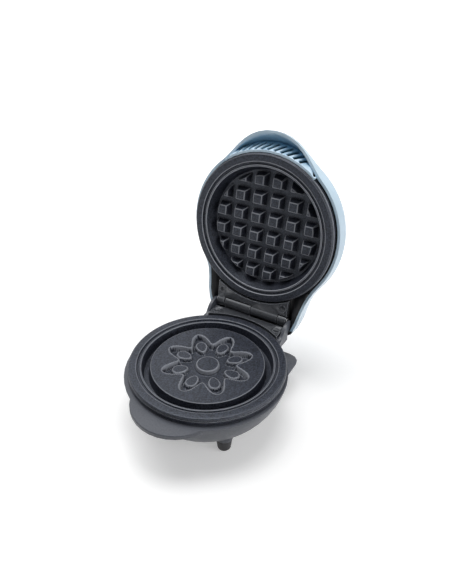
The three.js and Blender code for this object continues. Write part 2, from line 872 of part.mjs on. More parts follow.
function heelBlock(inset) {
  const top = bowlBottom + heelHeight - inset;
  const low = bowlFootRadius + housingCentreY;
  const high = reachAt(bowlWall, top) + housingCentreY;
  return loft([
    { points: heelOutline(low, heelDraft, inset), z: bowlBottom + inset },
    { points: heelOutline(high, 0, inset), z: top - heelEdge },
    { points: heelOutline(high, heelEdge, inset), z: top },
  ]);
}

function cordBlock(inset) {
  const top = stopTop - inset;
  return loft([
    { points: tailOutline(stopBlock, stopDraft + inset), z: bowlBottom + inset },
    { points: tailOutline(stopBlock, inset), z: top - heelEdge },
    { points: tailOutline(stopBlock, heelEdge + inset), z: top },
  ]);
}

function cheekOutline() {
  const top = rimHeight + cheekTop;
  const low = rimHeight - pedestalDepth;
  return [
    at(cheekFront, low),
    ...curvePoints(at(cheekFront, deckTop), at((cheekFront + cheekWaist) / 2, top), at(cheekWaist, top)),
    ...curvePoints(at(hingeY - pinRadius, top), at(cheekRear, top), at(cheekRear, hingeZ - pinRadius)),
    at(cheekWaist, rimHeight - cheekUnder),
    at(cheekWaist, low),
  ];
}

const footPlaces = {
  front_left: [-footFrontX, footFrontY],
  front_right: [footFrontX, footFrontY],
  rear_left: [-footRearX, footRearY],
  rear_right: [footRearX, footRearY],
};
const footTop = footStand;

function hingeScrewHoles(low, high) {
  return [-1, 1].map((side) => cylinder(
    pilotRadius, low, high, screwFacets, side * hingeScrewX, hingeScrewY));
}

function baseHousing() {
  const outer = joined([bowl(0), thumbLip(0), heelBlock(0), cordBlock(0)]);
  const hollow = joined([
    bowl(housingWall), thumbLip(housingWall), heelBlock(housingWall), cordBlock(housingWall),
  ]);
  const mouth = cylinder(deckHoleRadius, deckTop - housingWall - overrun, deckTop + overrun, bodyFacets);
  const aroundPlate = cylinder(plateRadius + leafPlateGap, deckTop, rimHeight + cheekTop + overrun,
    bodyFacets);
  const cheekOuter = cheekInner + cheekStock;
  const pedestal = box(-cheekOuter, cheekOuter, pedestalFront, cheekWaist,
    rimHeight - pedestalDepth, rimHeight + baseLeafTop - leafStock - gap);
  const cheeks = [
    extrudeAcross(cheekOutline(), cheekInner, cheekOuter),
    extrudeAcross(cheekOutline(), -cheekOuter, -cheekInner),
  ];
  const underPedestal = cylinder(deckHoleRadius, rimHeight - pedestalDepth - overrun, deckTop + overrun,
    bodyFacets);
  const seat = joined([pedestal, ...cheeks]).subtract(aroundPlate).subtract(underPedestal);
  const posts = platePlacedBosses(bowlBottom, basePostTop);
  const footBosses = Object.values(footPlaces).map(([x, y]) => cylinder(
    footBossRadius, bowlBottom - footBossDrop, bowlBottom + footBossHeight, bossFacets, x, y));
  const sockets = Object.values(footPlaces).map(([x, y]) => cylinder(
    footSpigotRadius + gap, bowlBottom - footBossDrop - overrun, footTop + footSpigotLength + 2 * gap,
    bossFacets, x, y));
  const counterbores = plateBossAngles.map((angle) => {
    const place = polar(plateBossCircle, angle);
    return cylinder(screwHeadRadius + gap, bowlBottom - overrun, floorTop + gap, bossFacets,
      place.x, place.y);
  });
  const glandHoleLength = housingWall + stopDraft + 2 * overrun;
  const glandHole = cylinder(glandBodyRadius + gap, 0, glandHoleLength, barrelFacets)
    .rotate([-quarterDegrees, 0, 0])
    .translate([0, stopEnd - housingWall - stopDraft - overrun, glandZ]);
  const shell = joined([outer.subtract(hollow).subtract(mouth), seat, ...posts, ...footBosses]);
  return cut(shell, [
    ...sockets,
    ...counterbores,
    ...platePilots(bowlBottom, basePostTop + overrun),
    ...hingeScrewHoles(rimHeight - hingeScrewLength, rimHeight + overrun),
    glandHole,
  ]);
}

function foot() {
  const tip = curvePoints(
    at(footPatchRadius, 0), at(footTipRadius, 0), at(footTipRadius, footTipHeight), roundSteps);
  return revolve([
    [0, 0],
    ...tip.map(({ x, y }) => [x, y]),
    [footTopRadius, footTop],
    [footSpigotRadius, footTop],
    [footSpigotRadius, footTop + footSpigotLength],
    [0, footTop + footSpigotLength],
  ], bossFacets);
}

// Hinge leaves with alternate knuckles on one pin

function knuckleSpans() {
  const long = leafHalfWidth * knuckleShare;
  const half = knuckleGap / 2;
  return {
    base: [[-long + half, -half], [long + half, leafHalfWidth]],
    lid: [[-leafHalfWidth, -long - half], [half, long - half]],
  };
}

// A leaf drawn about the hinge axis at Z = 0 of its own frame. Its plate lies from low
// to high, a web carries each knuckle, and the screw holes are sunk from headFace.
function hingeLeaf(spans, low, high, headFace, headSide) {
  const plate = box(-leafHalfWidth, leafHalfWidth, pedestalFront - hingeY, -leafRear, low, high);
  const clearOfPlate = cylinder(plateRadius + leafPlateGap, low - overrun, high + overrun, bodyFacets)
    .translate([0, -hingeY, 0]);
  const sleeves = spans.map(([left, right]) => {
    const sleeve = cylinder(barrelRadius, left, right, barrelFacets).rotate([0, quarterDegrees, 0]);
    const web = box(left, right, -leafRear - overrun, 0, low, high);
    return sleeve.add(web);
  });
  const bore = cylinder(pinRadius + pinGap, -leafHalfWidth - overrun, leafHalfWidth + overrun,
    barrelFacets).rotate([0, quarterDegrees, 0]);
  const sink = revolve([
    [0, -overrun],
    [flatHeadRadius + gap, -overrun],
    [flatHeadRadius + gap, flatHeadEdge],
    [pilotRadius, flatHeadHeight],
    [pilotRadius, leafStock + overrun],
    [0, leafStock + overrun],
  ], screwFacets);
  const turned = headSide > 0 ? sink.rotate([0, halfDegrees, 0]) : sink;
  const holes = [-1, 1].map((side) => turned.translate(
    [side * hingeScrewX, hingeScrewY - hingeY, headFace]));
  return cut(joined([plate.subtract(clearOfPlate), ...sleeves]), [bore, ...holes]);
}

function hingePin() {
  const half = leafHalfWidth + gap;
  return revolve([
    [0, -half - pinHeadStock],
    [pinHeadRadius, -half - pinHeadStock],
    [pinHeadRadius, -half],
    [pinRadius, -half],
    [pinRadius, half],
    [pinHeadRadius, half],
    [pinHeadRadius, half + pinHeadStock],
    [0, half + pinHeadStock],
  ], barrelFacets).rotate([0, quarterDegrees, 0]);
}

// Lid shell: dome, handle and tail from one set of forms, drawn in by an inset

// A roof line bends up from its outer end, then runs on under the dome to the top.
function roofLine(outer, bend, end) {
  const slope = (end.y - bend.y) / (bend.x - end.x);
  const halfWay = at(end.x / 2, end.y + (slope * end.x) / 2);
  return [
    ...curvePoints(outer, bend, end, profileSteps).slice(0, -1),
    ...curvePoints(end, halfWay, at(0, domeHeight), profileSteps),
  ];
}

const handleRoof = roofLine(at(handleReach, handleTip), at(handleRoofY, handleRoofZ),
  at(handleRoofEndY, handleRoofEndZ));
const tailRoof = roofLine(at(tailEnd, tailRoofEnd), at(tailRoofY, tailRoofZ),
  at(tailRoofFrontY, tailRoofFrontZ));

// Distances from the middle to the handle's nose and to the tail, in one direction.

function handleRay(direction, z, inset) {
  const reach = reachAt(handleRoof, z);
  const crest = crestAt(z, handleCrestLow, handleCrestHigh, handleCrestRun);
  const radius = Math.min(handleRadius - crest, reach);
  const centre = reach - radius;
  const along = -direction.y * centre;
  const chord = (radius - inset) ** 2 - (direction.x * centre) ** 2;
  return chord > 0 && along > 0 ? along + Math.sqrt(chord) : 0;
}

function tailRay(direction, z, inset) {
  if (direction.y <= 0) {
    return 0;
  }
  const normal = polar(1, tailTaper);
  const crest = crestAt(z, tailCrestLow, tailCrestHigh, tailCrestRun);
  const side = tailHalfWidth * normal.x + tailEnd * normal.y - crest - inset;
  const end = reachAt(tailRoof, z) - inset;
  const facing = Math.abs(direction.x) * normal.x + direction.y * normal.y;
  return -smoothMax(-side / facing, -end / direction.y, tailCorner);
}

// Plan of the lid at one height, where its round body has the given radius.
function lidPlan(body, z, inset, withHandle = true) {
  const points = [];
  for (let i = 0; i < lidSectors; i += 1) {
    const direction = polar(1, (fullTurn * i) / lidSectors - quarterTurn);
    const nose = withHandle ? handleRay(direction, z + inset, inset) : 0;
    const front = smoothMax(body, nose, handleBlend);
    const reach = smoothMax(front, tailRay(direction, z + inset, inset), tailBlend);
    points.push(direction.multiplyScalar(reach));
  }
  return points;
}

function domeCurve(inset) {
  const top = domeHeight - inset;
  const wall = shellRadius - inset;
  return new THREE.CubicBezierCurve(
    at(wall, shoulderHeight),
    at(wall, shoulderHeight + (top - shoulderHeight) * domeShoulderShare),
    at(wall * domeCrownShare, top),
    at(0, top),
  ).getPoints(domeSteps).slice(0, -1);
}

// Radius of the lid's round body between its lower edge and its shoulder.
const shellMiddle = (shellEdge + shoulderHeight) / 2;
function lidBodyAt(z) {
  return shellEdgeRadius + (shellSwell * (z - shellEdge)) / (shoulderHeight - shellEdge);
}

// The lid's solid form, drawn in by an inset and carried down by a drop.
function lidForm(inset, drop) {
  const rings = [
    { body: lidBodyAt(shellEdge) - inset, z: tailEdge - drop },
    { body: lidBodyAt(shellEdge) - inset, z: shellEdge },
    { body: lidBodyAt(shellMiddle) - inset, z: shellMiddle },
    ...domeCurve(inset).map(({ x, y }) => ({ body: x, z: y })),
  ];
  const whole = loft(rings.map(({ body, z }) => ({ points: lidPlan(body, z, inset), z })));
  const edge = shellEdge - drop;
  const beneath = [
    at(-handleReach - overrun, tailEdge - drop - overrun),
    at(tailEdgeRear, tailEdge - drop - overrun),
    at(tailEdgeRear, tailEdge - drop),
    at(tailEdgeFront, edge),
    at(-handleReach - overrun, edge),
  ];
  return whole.subtract(extrudeAcross(beneath, -shellRadius - overrun, shellRadius + overrun));
}

function lidShell() {
  const skin = lidForm(0, 0).subtract(lidForm(shellWall, overrun));
  const posts = [-1, 1].map((side) => cylinder(
    plateBossRadius, coverTop + gap, tailRoofZ, bossFacets, side * hingeScrewX, hingeScrewY)
    .intersect(lidForm(shellWall / 2, 0)));
  const lensHole = cylinder(lensRadius + gap, shoulderHeight, domeHeight + overrun, bossFacets,
    lensX, lensY);
  const screwHoles = hingeScrewHoles(shellEdge, coverTop + hingeScrewLength);
  const underTail = box(-shellRadius, shellRadius, tailEnd - tailLipRun - gap, tailEnd + overrun,
    tailEdge - overrun, tailEdge + tailLipHeight);
  return cut(joined([skin, ...posts]), [lensHole, underTail, ...screwHoles]);
}

// Black inner cover: ledge round the plate, dish over the heater, surround of the hinge

// The surround's two sides and its end, flush with the tail's lower edge.
function hingeSurround(plan) {
  const sides = extrudeUp(plan, tailEdge, coverTop);
  const sideAt = cheekInner + cheekStock + gap;
  const inner = box(-sideAt, sideAt, 0, hingeY + barrelRadius + surroundClear,
    tailEdge - overrun, coverTop + overrun);
  const ahead = extrudeAcross([
    at(-handleReach, tailEdge - overrun),
    at(tailEdgeRear, tailEdge - overrun),
    at(tailEdgeRear, tailEdge),
    at(tailEdgeFront, shellEdge),
    at(tailEdgeFront, coverTop + overrun),
    at(-handleReach, coverTop + overrun),
  ], -shellRadius, shellRadius);
  const aroundPlate = cylinder(plateRadius + leafPlateGap, tailEdge - overrun, coverSeat, bodyFacets);
  const lipPlan = lidPlan(shellEdgeRadius, tailEdge, 0, false);
  const lip = extrudeUp(lipPlan, tailEdge, tailEdge + tailLipHeight - gap).intersect(
    box(-shellRadius, shellRadius, tailEnd - tailLipRun, tailEnd + overrun, tailEdge - overrun, coverTop));
  return cut(sides, [inner, ahead, aroundPlate]).add(lip);
}

function lidCover() {
  const coverInset = shellWall + gap;
  const ledgePlan = lidPlan(shellEdgeRadius - coverInset, coverSeat, coverInset, false);
  const ledge = extrudeUp(ledgePlan, coverSeat, coverTop);
  const dish = revolve([
    [0, dishUnderside],
    [dishTopRadius - dishWall, dishUnderside],
    [coverInnerRadius, coverTop - coverStock],
    [coverInnerRadius + dishWall, coverTop - coverStock],
    [dishTopRadius, dishTop],
    [0, dishTop],
  ], plateFacets);
  const inside = revolve([
    [0, coverSeat - overrun],
    [coverInnerRadius, coverSeat - overrun],
    [coverInnerRadius, coverSeat],
    [dishTopRadius - dishWall, dishUnderside],
    [0, dishUnderside],
  ], plateFacets);
  const pedestal = box(-leafHalfWidth, leafHalfWidth, pedestalFront, hingeY - leafRear,
    lidLeafBottom + leafStock + gap, coverTop)
    .subtract(cylinder(plateRadius + leafPlateGap, 0, coverSeat, bodyFacets));
  const holes = [
    ...platePilots(dishUnderside - overrun, dishTop + overrun),
    heaterLegNotch(dishUnderside, dishTop + overrun).intersect(
      cylinder(dishTopRadius - dishWall - overrun, dishUnderside - overrun, dishTop + overrun,
        plateFacets)),
    ...hingeScrewHoles(0, coverTop + overrun),
  ];
  const surround = hingeSurround(ledgePlan);
  return cut(joined([joined([ledge, pedestal, surround]).subtract(inside), dish]), holes);
}

// Louvred grille: a flared wall with leaning slots on a crescent collar

function sector(halfAngle, radius, low, high) {
  const edge = radius / Math.cos(halfAngle);
  return extrudeUp([
    at(0, 0),
    polar(edge, -quarterTurn - halfAngle),
    polar(edge, -quarterTurn + halfAngle),
  ], low, high);
}

function handleGrille() {
  const collarLow = grilleLow;
  const collarTop = collarLow + collarHeight;
  const flare = (grilleHigh - collarLow) * grilleFlareShare;
  const wall = revolve([
    [grilleRadius, collarLow],
    [grilleRadius + grilleStock, collarLow],
    [grilleRadius + grilleStock + flare, grilleHigh],
    [grilleRadius + flare, grilleHigh],
    [grilleRadius, collarLow],
  ], bodyFacets)
    .intersect(sector(collarHalfAngle, handleReach, collarLow, grilleHigh))
    .intersect(lidForm(shellWall + gap, shellEdge - collarLow + overrun));
  const slots = [];
  for (let i = 0; i < louvreCount; i += 1) {
    const share = (i + 1 / 2) / louvreCount;
    const angle = (2 * share - 1) * louvreHalfAngle;
    const slot = box(-louvreSlot / 2, louvreSlot / 2, -handleReach, -collarInner,
      -louvreHeight / 2, louvreHeight / 2);
    slots.push(slot
      .rotate([0, THREE.MathUtils.radToDeg(louvreLean), 0])
      .translate([0, 0, collarLow + grilleBand + louvreHeight / 2])
      .rotate([0, 0, THREE.MathUtils.radToDeg(angle)]));
  }
  const collar = revolve([
    [collarInner, collarLow],
    [collarInner + collarStock, collarLow],
    [collarInner + collarStock, collarTop],
    [collarInner, collarTop],
    [collarInner, collarLow],
  ], bodyFacets).intersect(sector(collarHalfAngle, handleReach, collarLow, collarTop));
  const ends = [-1, 1].map((side) => {
    const place = polar(collarInner + collarStock / 2, side * collarHalfAngle - quarterTurn);
    return cylinder(collarEndRadius, collarLow, shellEdge - gap, screwFacets, place.x, place.y);
  });
  return joined([cut(wall, slots), collar, ...ends]);
}

// Indicator light in the dome

function domeHeightAt(radius) {
  const crown = domeCurve(0);
  const next = crown.findIndex(({ x }) => x <= radius);
  if (next < 0) {
    return crown.at(-1).y;
  }
  const [outer, inner] = [crown[next - 1], crown[next]];
  const share = (outer.x - radius) / (outer.x - inner.x);
  return outer.y + (inner.y - outer.y) * share;
}

const lensSeat = domeHeightAt(Math.hypot(lensX, lensY) + lensRadius + lensFlange) - shellWall;

function indicatorLens() {
  const top = domeHeightAt(Math.hypot(lensX, lensY)) + lensProud;
  return revolve([
    [0, lensSeat - gap - lensFlangeStock],
    [lensRadius + lensFlange, lensSeat - gap - lensFlangeStock],
    [lensRadius + lensFlange, lensSeat - gap],
    [lensRadius, lensSeat - gap],
    [lensRadius, top - lensProud / 2],
    [lensRadius * lensFaceShare, top],
    [0, top],
  ], bossFacets).translate([lensX, lensY, 0]);
}

function indicatorLamp() {
  const top = lensSeat - lensFlangeStock - 2 * gap;
  const low = Math.max(top - lampLength, dishTop + gap);
  return cylinder(lampRadius, low, top, screwFacets, lensX, lensY);
}

// Cord inlet bush with its nut, and the terminal block

function cordGland() {
  const outside = stopEnd - stopDraft + gap;
  const inside = stopEnd - stopDraft - housingWall - stopDraft;
  const bush = revolve([
    [glandBore, inside - glandNutStock - glandTail - gap],
    [glandBodyRadius, inside - glandNutStock - glandTail - gap],
    [glandBodyRadius, outside + stopDraft],
    [glandFlangeRadius, outside + stopDraft],
    [glandFlangeRadius - glandFlangeStock / 2, outside + stopDraft + glandFlangeStock],
    [glandBore, outside + stopDraft + glandFlangeStock],
    [glandBore, inside - glandNutStock - glandTail - gap],
  ], barrelFacets);
  return bush.rotate([-quarterDegrees, 0, 0]).translate([0, 0, glandZ]);
}

function glandNut() {
  const inside = stopEnd - 2 * stopDraft - housingWall - gap;
  const hexagon = cylinder(glandNutRadius, inside - glandNutStock, inside, nutSides);
  const hole = cylinder(glandBodyRadius + pinGap, inside - glandNutStock - overrun, inside + overrun,
    barrelFacets);
  return hexagon.subtract(hole).rotate([-quarterDegrees, 0, 0]).translate([0, 0, glandZ]);
}

function terminalBlock() {
  const low = floorTop + gap;
  const front = terminalY - terminalDepth / 2;
  const body = box(-terminalWidth / 2, terminalWidth / 2, front, front + terminalDepth, low,
    low + terminalHeight);
  const way = terminalWidth / terminalWays;
  const slots = [];
  for (let i = 0; i < terminalWays; i += 1) {
    const left = -terminalWidth / 2 + i * way;
    slots.push(box(left + terminalWall, left + way - terminalWall, front - overrun,
      front + terminalDepth + overrun, low + terminalHeight - terminalSlotDepth,
      low + terminalHeight + overrun));
  }
  return cut(body, slots);
}

// Finishes

const finishes = {
  charcoal: { color: 0x58595e, roughness: 0.62, metalness: 0 },
  black_plastic: { color: 0x1a1b1f, roughness: 0.6, metalness: 0 },
  nonstick: { color: 0x2b2c30, roughness: 0.5, metalness: 0.1 },
  pale_blue: { color: 0xcde0f0, roughness: 0.4, metalness: 0 },
  foot_black: { color: 0x343237, roughness: 0.7, metalness: 0 },
  hinge_black: { color: 0x2a2b2e, roughness: 0.35, metalness: 0.6 },
  steel: { color: 0xa9abad, roughness: 0.4, metalness: 0.9 },
  tinplate: { color: 0xb9bbbd, roughness: 0.45, metalness: 0.8 },
  ceramic: { color: 0xe9e4da, roughness: 0.6, metalness: 0 },
  lens_red: { color: 0xb02a22, roughness: 0.2, metalness: 0 },
  lamp_glass: { color: 0xe6b28c, roughness: 0.1, metalness: 0 },
};

function piece(name, solid, finish) {
  const mesh = new THREE.Mesh(
    geometryFrom(solid), new THREE.MeshStandardMaterial(finishes[finish]));
  mesh.name = name;
  return mesh;
}

function placed(mesh, x, y, z, turn = 0) {
  mesh.position.set(x, y, z);
  mesh.rotateOnAxis(lengthways, turn);
  return mesh;
}

// Lower half

const base = new THREE.Group();
base.add(piece("base_housing", baseHousing(), "charcoal"));
base.add(piece("base_plate", basePlate(), "nonstick"));
Object.entries(footPlaces).forEach(([name, [x, y]]) => {
  base.add(placed(piece(`foot_${name}`, foot(), "foot_black"), x, y, 0));
});
const underPlate = plateUnderside - gap;
base.add(placed(piece("base_heating_element", heater(baseHeaterLeg), "steel"), 0, 0, underPlate));
base.add(placed(piece("base_heat_shield", heatShield(), "tinplate"), 0, 0, baseShieldTop));
base.add(placed(piece("base_thermostat", thermostat(), "ceramic"), 0, 0, underPlate));
base.add(placed(piece("base_thermal_fuse", thermalFuse(), "tinplate"), 0, 0, underPlate));
base.add(piece("terminal_block", terminalBlock(), "ceramic"));
base.add(piece("cord_gland", cordGland(), "black_plastic"));
base.add(piece("cord_gland_nut", glandNut(), "black_plastic"));
const basePlateScrewLength = plateBossBottom + plateScrewBite - floorTop - gap;
plateBossAngles.forEach((angle, index) => {
  const place = polar(plateBossCircle, angle);
  const mesh = piece(`base_plate_screw_${index + 1}`, screw(basePlateScrewLength), "steel");
  base.add(placed(mesh, place.x, place.y, floorTop));
});

const baseLeafHigh = baseLeafTop - hingeRise;
const lidLeafLow = lidLeafBottom - lidAxisZ;
const spans = knuckleSpans();
const baseLeaf = hingeLeaf(spans.base, baseLeafHigh - leafStock, baseLeafHigh, baseLeafHigh, 1);
const lidLeaf = hingeLeaf(spans.lid, lidLeafLow, lidLeafLow + leafStock, lidLeafLow, -1);
base.add(placed(piece("hinge_leaf_base", baseLeaf, "hinge_black"), 0, hingeY, hingeZ));
base.add(placed(piece("hinge_pin", hingePin(), "steel"), 0, hingeY, hingeZ));
[["left", -1], ["right", 1]].forEach(([name, side]) => {
  const mesh = piece(`hinge_screw_base_${name}`, flatScrew(hingeScrewLength), "hinge_black");
  base.add(placed(mesh, side * hingeScrewX, hingeScrewY, rimHeight + baseLeafTop, halfTurn));
});

// Lid, drawn closed about the hinge axis and turned open

const lid = new THREE.Group();
lid.position.set(0, hingeY, hingeZ);
lid.rotateOnAxis(across, -openAngle);
const closedLid = new THREE.Group();
closedLid.position.set(0, -hingeY, -lidAxisZ);
lid.add(closedLid);
closedLid.add(piece("lid_shell", lidShell(), "pale_blue"));
closedLid.add(piece("lid_inner_cover", lidCover(), "black_plastic"));
closedLid.add(piece("handle_grille", handleGrille(), "pale_blue"));
closedLid.add(piece("lid_plate", lidPlate(), "nonstick"));
const overPan = panUnderside + gap;
const overBosses = lidBossTop + gap;
closedLid.add(placed(
  piece("lid_heating_element", heater(lidHeaterLeg), "steel"), 0, 0, overPan, halfTurn));
closedLid.add(placed(piece("lid_heat_shield", heatShield(), "tinplate"), 0, 0, overBosses, halfTurn));
closedLid.add(placed(piece("lid_thermostat", thermostat(), "ceramic"), 0, 0, overPan, halfTurn));
closedLid.add(piece("indicator_lens", indicatorLens(), "lens_red"));
closedLid.add(piece("indicator_lamp", indicatorLamp(), "lamp_glass"));
plateBossAngles.forEach((angle, index) => {
  const place = polar(plateBossCircle, angle);
  const length = dishTop - lidBossTop + plateScrewBite - gap;
  const mesh = piece(`lid_plate_screw_${index + 1}`, screw(length), "steel");
  closedLid.add(placed(mesh, place.x, place.y, dishTop + gap, halfTurn));
});
closedLid.add(placed(piece("hinge_leaf_lid", lidLeaf, "hinge_black"), 0, hingeY, lidAxisZ));
[["left", -1], ["right", 1]].forEach(([name, side]) => {
  const mesh = piece(`hinge_screw_lid_${name}`, flatScrew(hingeScrewLength), "hinge_black");
  closedLid.add(placed(mesh, side * hingeScrewX, hingeScrewY, lidLeafBottom));
});

// The whole, with its origin on the table under the middle of its outline

const wafflemaker = new THREE.Group();
wafflemaker.add(base, lid);
wafflemaker.updateMatrixWorld(true);
const extent = new THREE.Box3().setFromObject(wafflemaker, true);
wafflemaker.position.y = -(extent.min.y + extent.max.y) / 2;

export default wafflemaker;
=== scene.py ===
import json
import math

import bmesh
import bpy
from mathutils import Matrix, Vector


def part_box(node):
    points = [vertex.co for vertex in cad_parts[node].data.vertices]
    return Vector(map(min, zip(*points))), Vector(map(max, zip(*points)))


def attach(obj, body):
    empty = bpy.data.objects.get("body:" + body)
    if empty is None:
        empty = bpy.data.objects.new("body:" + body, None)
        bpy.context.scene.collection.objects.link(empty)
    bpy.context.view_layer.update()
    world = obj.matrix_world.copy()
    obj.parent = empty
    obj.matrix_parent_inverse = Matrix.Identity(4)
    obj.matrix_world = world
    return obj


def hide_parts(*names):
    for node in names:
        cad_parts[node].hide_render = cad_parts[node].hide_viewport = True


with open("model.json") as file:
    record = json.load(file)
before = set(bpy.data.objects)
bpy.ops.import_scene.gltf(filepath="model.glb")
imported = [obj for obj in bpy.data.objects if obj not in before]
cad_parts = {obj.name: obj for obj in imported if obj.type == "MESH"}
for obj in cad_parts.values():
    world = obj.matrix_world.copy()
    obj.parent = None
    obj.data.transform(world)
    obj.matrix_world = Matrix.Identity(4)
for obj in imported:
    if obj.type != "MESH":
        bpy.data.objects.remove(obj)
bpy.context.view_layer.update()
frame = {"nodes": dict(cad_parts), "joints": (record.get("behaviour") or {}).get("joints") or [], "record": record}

scene = bpy.context.scene
MM = 0.001
WHITE = (1, 1, 1, 1)

# Camera, as in the photograph
CAMERA_AZIMUTH = 30.72
CAMERA_ELEVATION = 33.77
CAMERA_DISTANCE = 441.8 * MM
CAMERA_AIM = Vector((-11.9, 46.4, 30.0)) * MM  # from the middle of the lower plate's rim
CAMERA_LENS = 35.44
CAMERA_SENSOR = 36  # along the picture's height
CAMERA_NEAR = 10 * MM  # nothing closer than this is drawn

# Lamps: name, azimuth and elevation in degrees, distance and side in metres, power in watts
LAMPS = (
    ("overhead", -95, 65, 1.1, 0.7, 4.8),
    ("rear_top", 180, 84, 1.1, 0.5, 5.0),
    ("left_key", -70, 48, 1.2, 0.5, 0.5),
    ("right_side", 92, 20, 1.4, 0.9, 6.8),
)

# Light of the studio's walls, from the front of the object to its back
WORLD_FRONT = 0.1
WORLD_BACK = 0.3
WORLD_SPAN = (-0.6, 0.6)  # share of a direction that points back, between which the light changes
WORLD_SHINE = 3.0  # times as strong where a gloss shows it

# Floor's own light: it fades to white away from the object
FLOOR_COLOUR = (0.8, 0.8, 0.8, 1)
FLOOR_GLOW = 0.36
FLOOR_SPAN = (160 * MM, 700 * MM)  # from the object's middle
FLOOR_REACH = 4.0

# Places taken from the solids
PLATE_LOW, PLATE_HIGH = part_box("base_plate")
PLATE_CENTRE = (PLATE_LOW + PLATE_HIGH) / 2
RIM_HEIGHT = PLATE_HIGH.z
PLATE_RADIUS = (PLATE_HIGH.x - PLATE_LOW.x) / 2
HINGE = frame["joints"][0]
HINGE_PLACE = Vector(HINGE["pos_m"])
OPEN_ANGLE = math.radians(HINGE["range_deg"][1])
SHUT_GAP = 3 * MM  # between the two rims when the lid is shut

# Sizes that the two cooking plates share
SKIRT_HEIGHT = 6 * MM
PLATE_STOCK = 2.6 * MM
SKIRT_STOCK = 2.4 * MM
GROOVE_TOP = 1.7 * MM  # groove round the skirt, from the rim
GROOVE_HEIGHT = 0.9 * MM
GROOVE_DEPTH = 0.7 * MM
RIM_FLAT = 57.2 * MM  # flat part of the rim, which falls off outside it
RIM_FALL = 0.8 * MM
RIM_INNER = 51.9 * MM
RING_OUTER = 51.3 * MM  # groove between the rim and the bead
RING_INNER = 49.9 * MM
RING_DEPTH = 2.1 * MM
BEAD_OUTER = 49.5 * MM
BEAD_INNER = 48.3 * MM
BEAD_DEPTH = 0.7 * MM
CAST_ROUND = 0.5 * MM
TURN_STEPS = 240
ROUND_STEPS = 4
ROUND_REACH = 0.45  # most of a side that the rounding of one corner takes

# Lower plate
MOAT_DEPTH = 9.2 * MM
MOAT_OUTER = 47.0 * MM
MOAT_INNER = 43.4 * MM
DISC_RADIUS = 41.8 * MM
DISC_DEPTH = 1.5 * MM
RELIEF_STEP = 0.5 * MM
FLOWER_RADIUS = 27.5 * MM
FLOWER_WAVE = 6.2 * MM
FLOWER_PETALS = 8
FLOWER_DEPTH = 4.6 * MM
FLOWER_SLOPE = 1.6 * MM
PETAL_INNER = 13.4 * MM
PETAL_OUTER = 27.6 * MM
PETAL_HALF_WIDTH = 5.1 * MM
PETAL_SWELL = 0.25
PETAL_RISE = 3.2 * MM
PETAL_SLOPE = 1.1 * MM
BUTTON_RADIUS = 9.4 * MM
BUTTON_RISE = 3.6 * MM

# Upper plate
PAN_DEPTH = 10.8 * MM
PAN_FLOOR = 44.7 * MM
GRID_PITCH = 14.8 * MM
GRID_ROWS = 6
GRID_RADIUS = 43.4 * MM
GRID_TAPER = 2.4 * MM
GRID_ROUND_STEPS = 96
BLOCK_BASE = 11.2 * MM
BLOCK_TOP = 7.2 * MM
BLOCK_HEIGHT = 6.5 * MM
BLOCK_ROUND = 0.6 * MM
BLOCK_ROUND_STEPS = 3
BLOCK_ROUND_TURN = math.radians(25)  # least turn of an edge that is rounded
BLOCK_SUNK = 0.02 * MM  # how far the blocks run into the pan's floor
CUTTER_SHARE = 1.02  # height of the round taper that cuts off the grid, as a share of a block's

# Feet
FEET = ("foot_front_left", "foot_front_right", "foot_rear_left", "foot_rear_right")
FOOT_TIP_FLAT = 3.3 * MM
FOOT_TIP_RADIUS = 4.9 * MM
FOOT_TIP_HEIGHT = 1.7 * MM
FOOT_ROUND = 1.4 * MM
FOOT_STEPS = 64
FOOT_SPIGOT_RADIUS = 2.6 * MM
FOOT_SPIGOT_LENGTH = 5 * MM

# Painted highlight lines where a narrow face rounds a convex edge: an attribute of a mesh's faces, from 0 to 1
EDGE_HIGHLIGHT_MARK = "edge_line"
MARK_WIDTH = 0.7 * MM
MARK_LEAST = math.radians(16)  # turn of a face against its neighbours where its mark begins
MARK_SPAN = math.radians(24)  # further turn to a full mark
MARK_PAN = 1.0
MARK_BLOCKS = 0.5
MARK_LOWER = 0.4

# Least turn between two faces that makes the edge between them sharp
SHARP_CAST = math.radians(60)
SHARP_FOOT = math.radians(50)
SHARP_BLOCKS = math.radians(40)
SHARP_SOLID = math.radians(35)

# Joining a solid's loose triangles
MERGE_DISTANCE = 0.001 * MM
FLAT_TURN = math.radians(0.5)

# What the finishes share
NOISE_SPAN = (0.3, 0.7)  # where nearly all of a noise lies
FINE_DETAIL = 2.0
DRIFT_SIZE = 9 * MM  # slow drift in roughness
DRIFT_DETAIL = 1.0
SOFT_SAMPLES = 6
EDGE_GAIN = 14.0  # how fast an edge takes its painted highlight colour as its normal turns
# Painted shade: inside hollows a colour is darkened by ambient occlusion, in place of their shadow
PAINTED_SHADE_REACH = 26 * MM  # how near the walls of a hollow are, for its painted shade
PAINTED_SHADE_SPAN = (0.32, 0.72)  # share of open sky where the painted shade of a hollow begins to fade, and where it ends
PAINTED_SHADE_SAMPLES = 8

# Frames of the two plates: origin on the plate's axis, in the plane of its rim
PLATE_FRAME = Matrix.Translation((0, PLATE_CENTRE.y, RIM_HEIGHT))

# The lid's is placed as it is when shut, and then opened about the hinge
LID_FROM_HINGE = Vector((0, PLATE_CENTRE.y - HINGE_PLACE.y, RIM_HEIGHT + SHUT_GAP - HINGE_PLACE.z))
LID_FRAME = (
    Matrix.Translation(HINGE_PLACE)
    @ Matrix.Rotation(-OPEN_ANGLE, 4, "X")
    @ Matrix.Translation(LID_FROM_HINGE)
)


# Objects and node trees

def put(name, data):
    """A new object in the scene."""
    made = bpy.data.objects.new(name, data)
    scene.collection.objects.link(made)
    return made


def feed(tree, socket, value):
    """Joins an output to an input, or sets the input's own value."""
    if isinstance(value, bpy.types.NodeSocket):
        tree.links.new(value, socket)
    else:
        socket.default_value = value


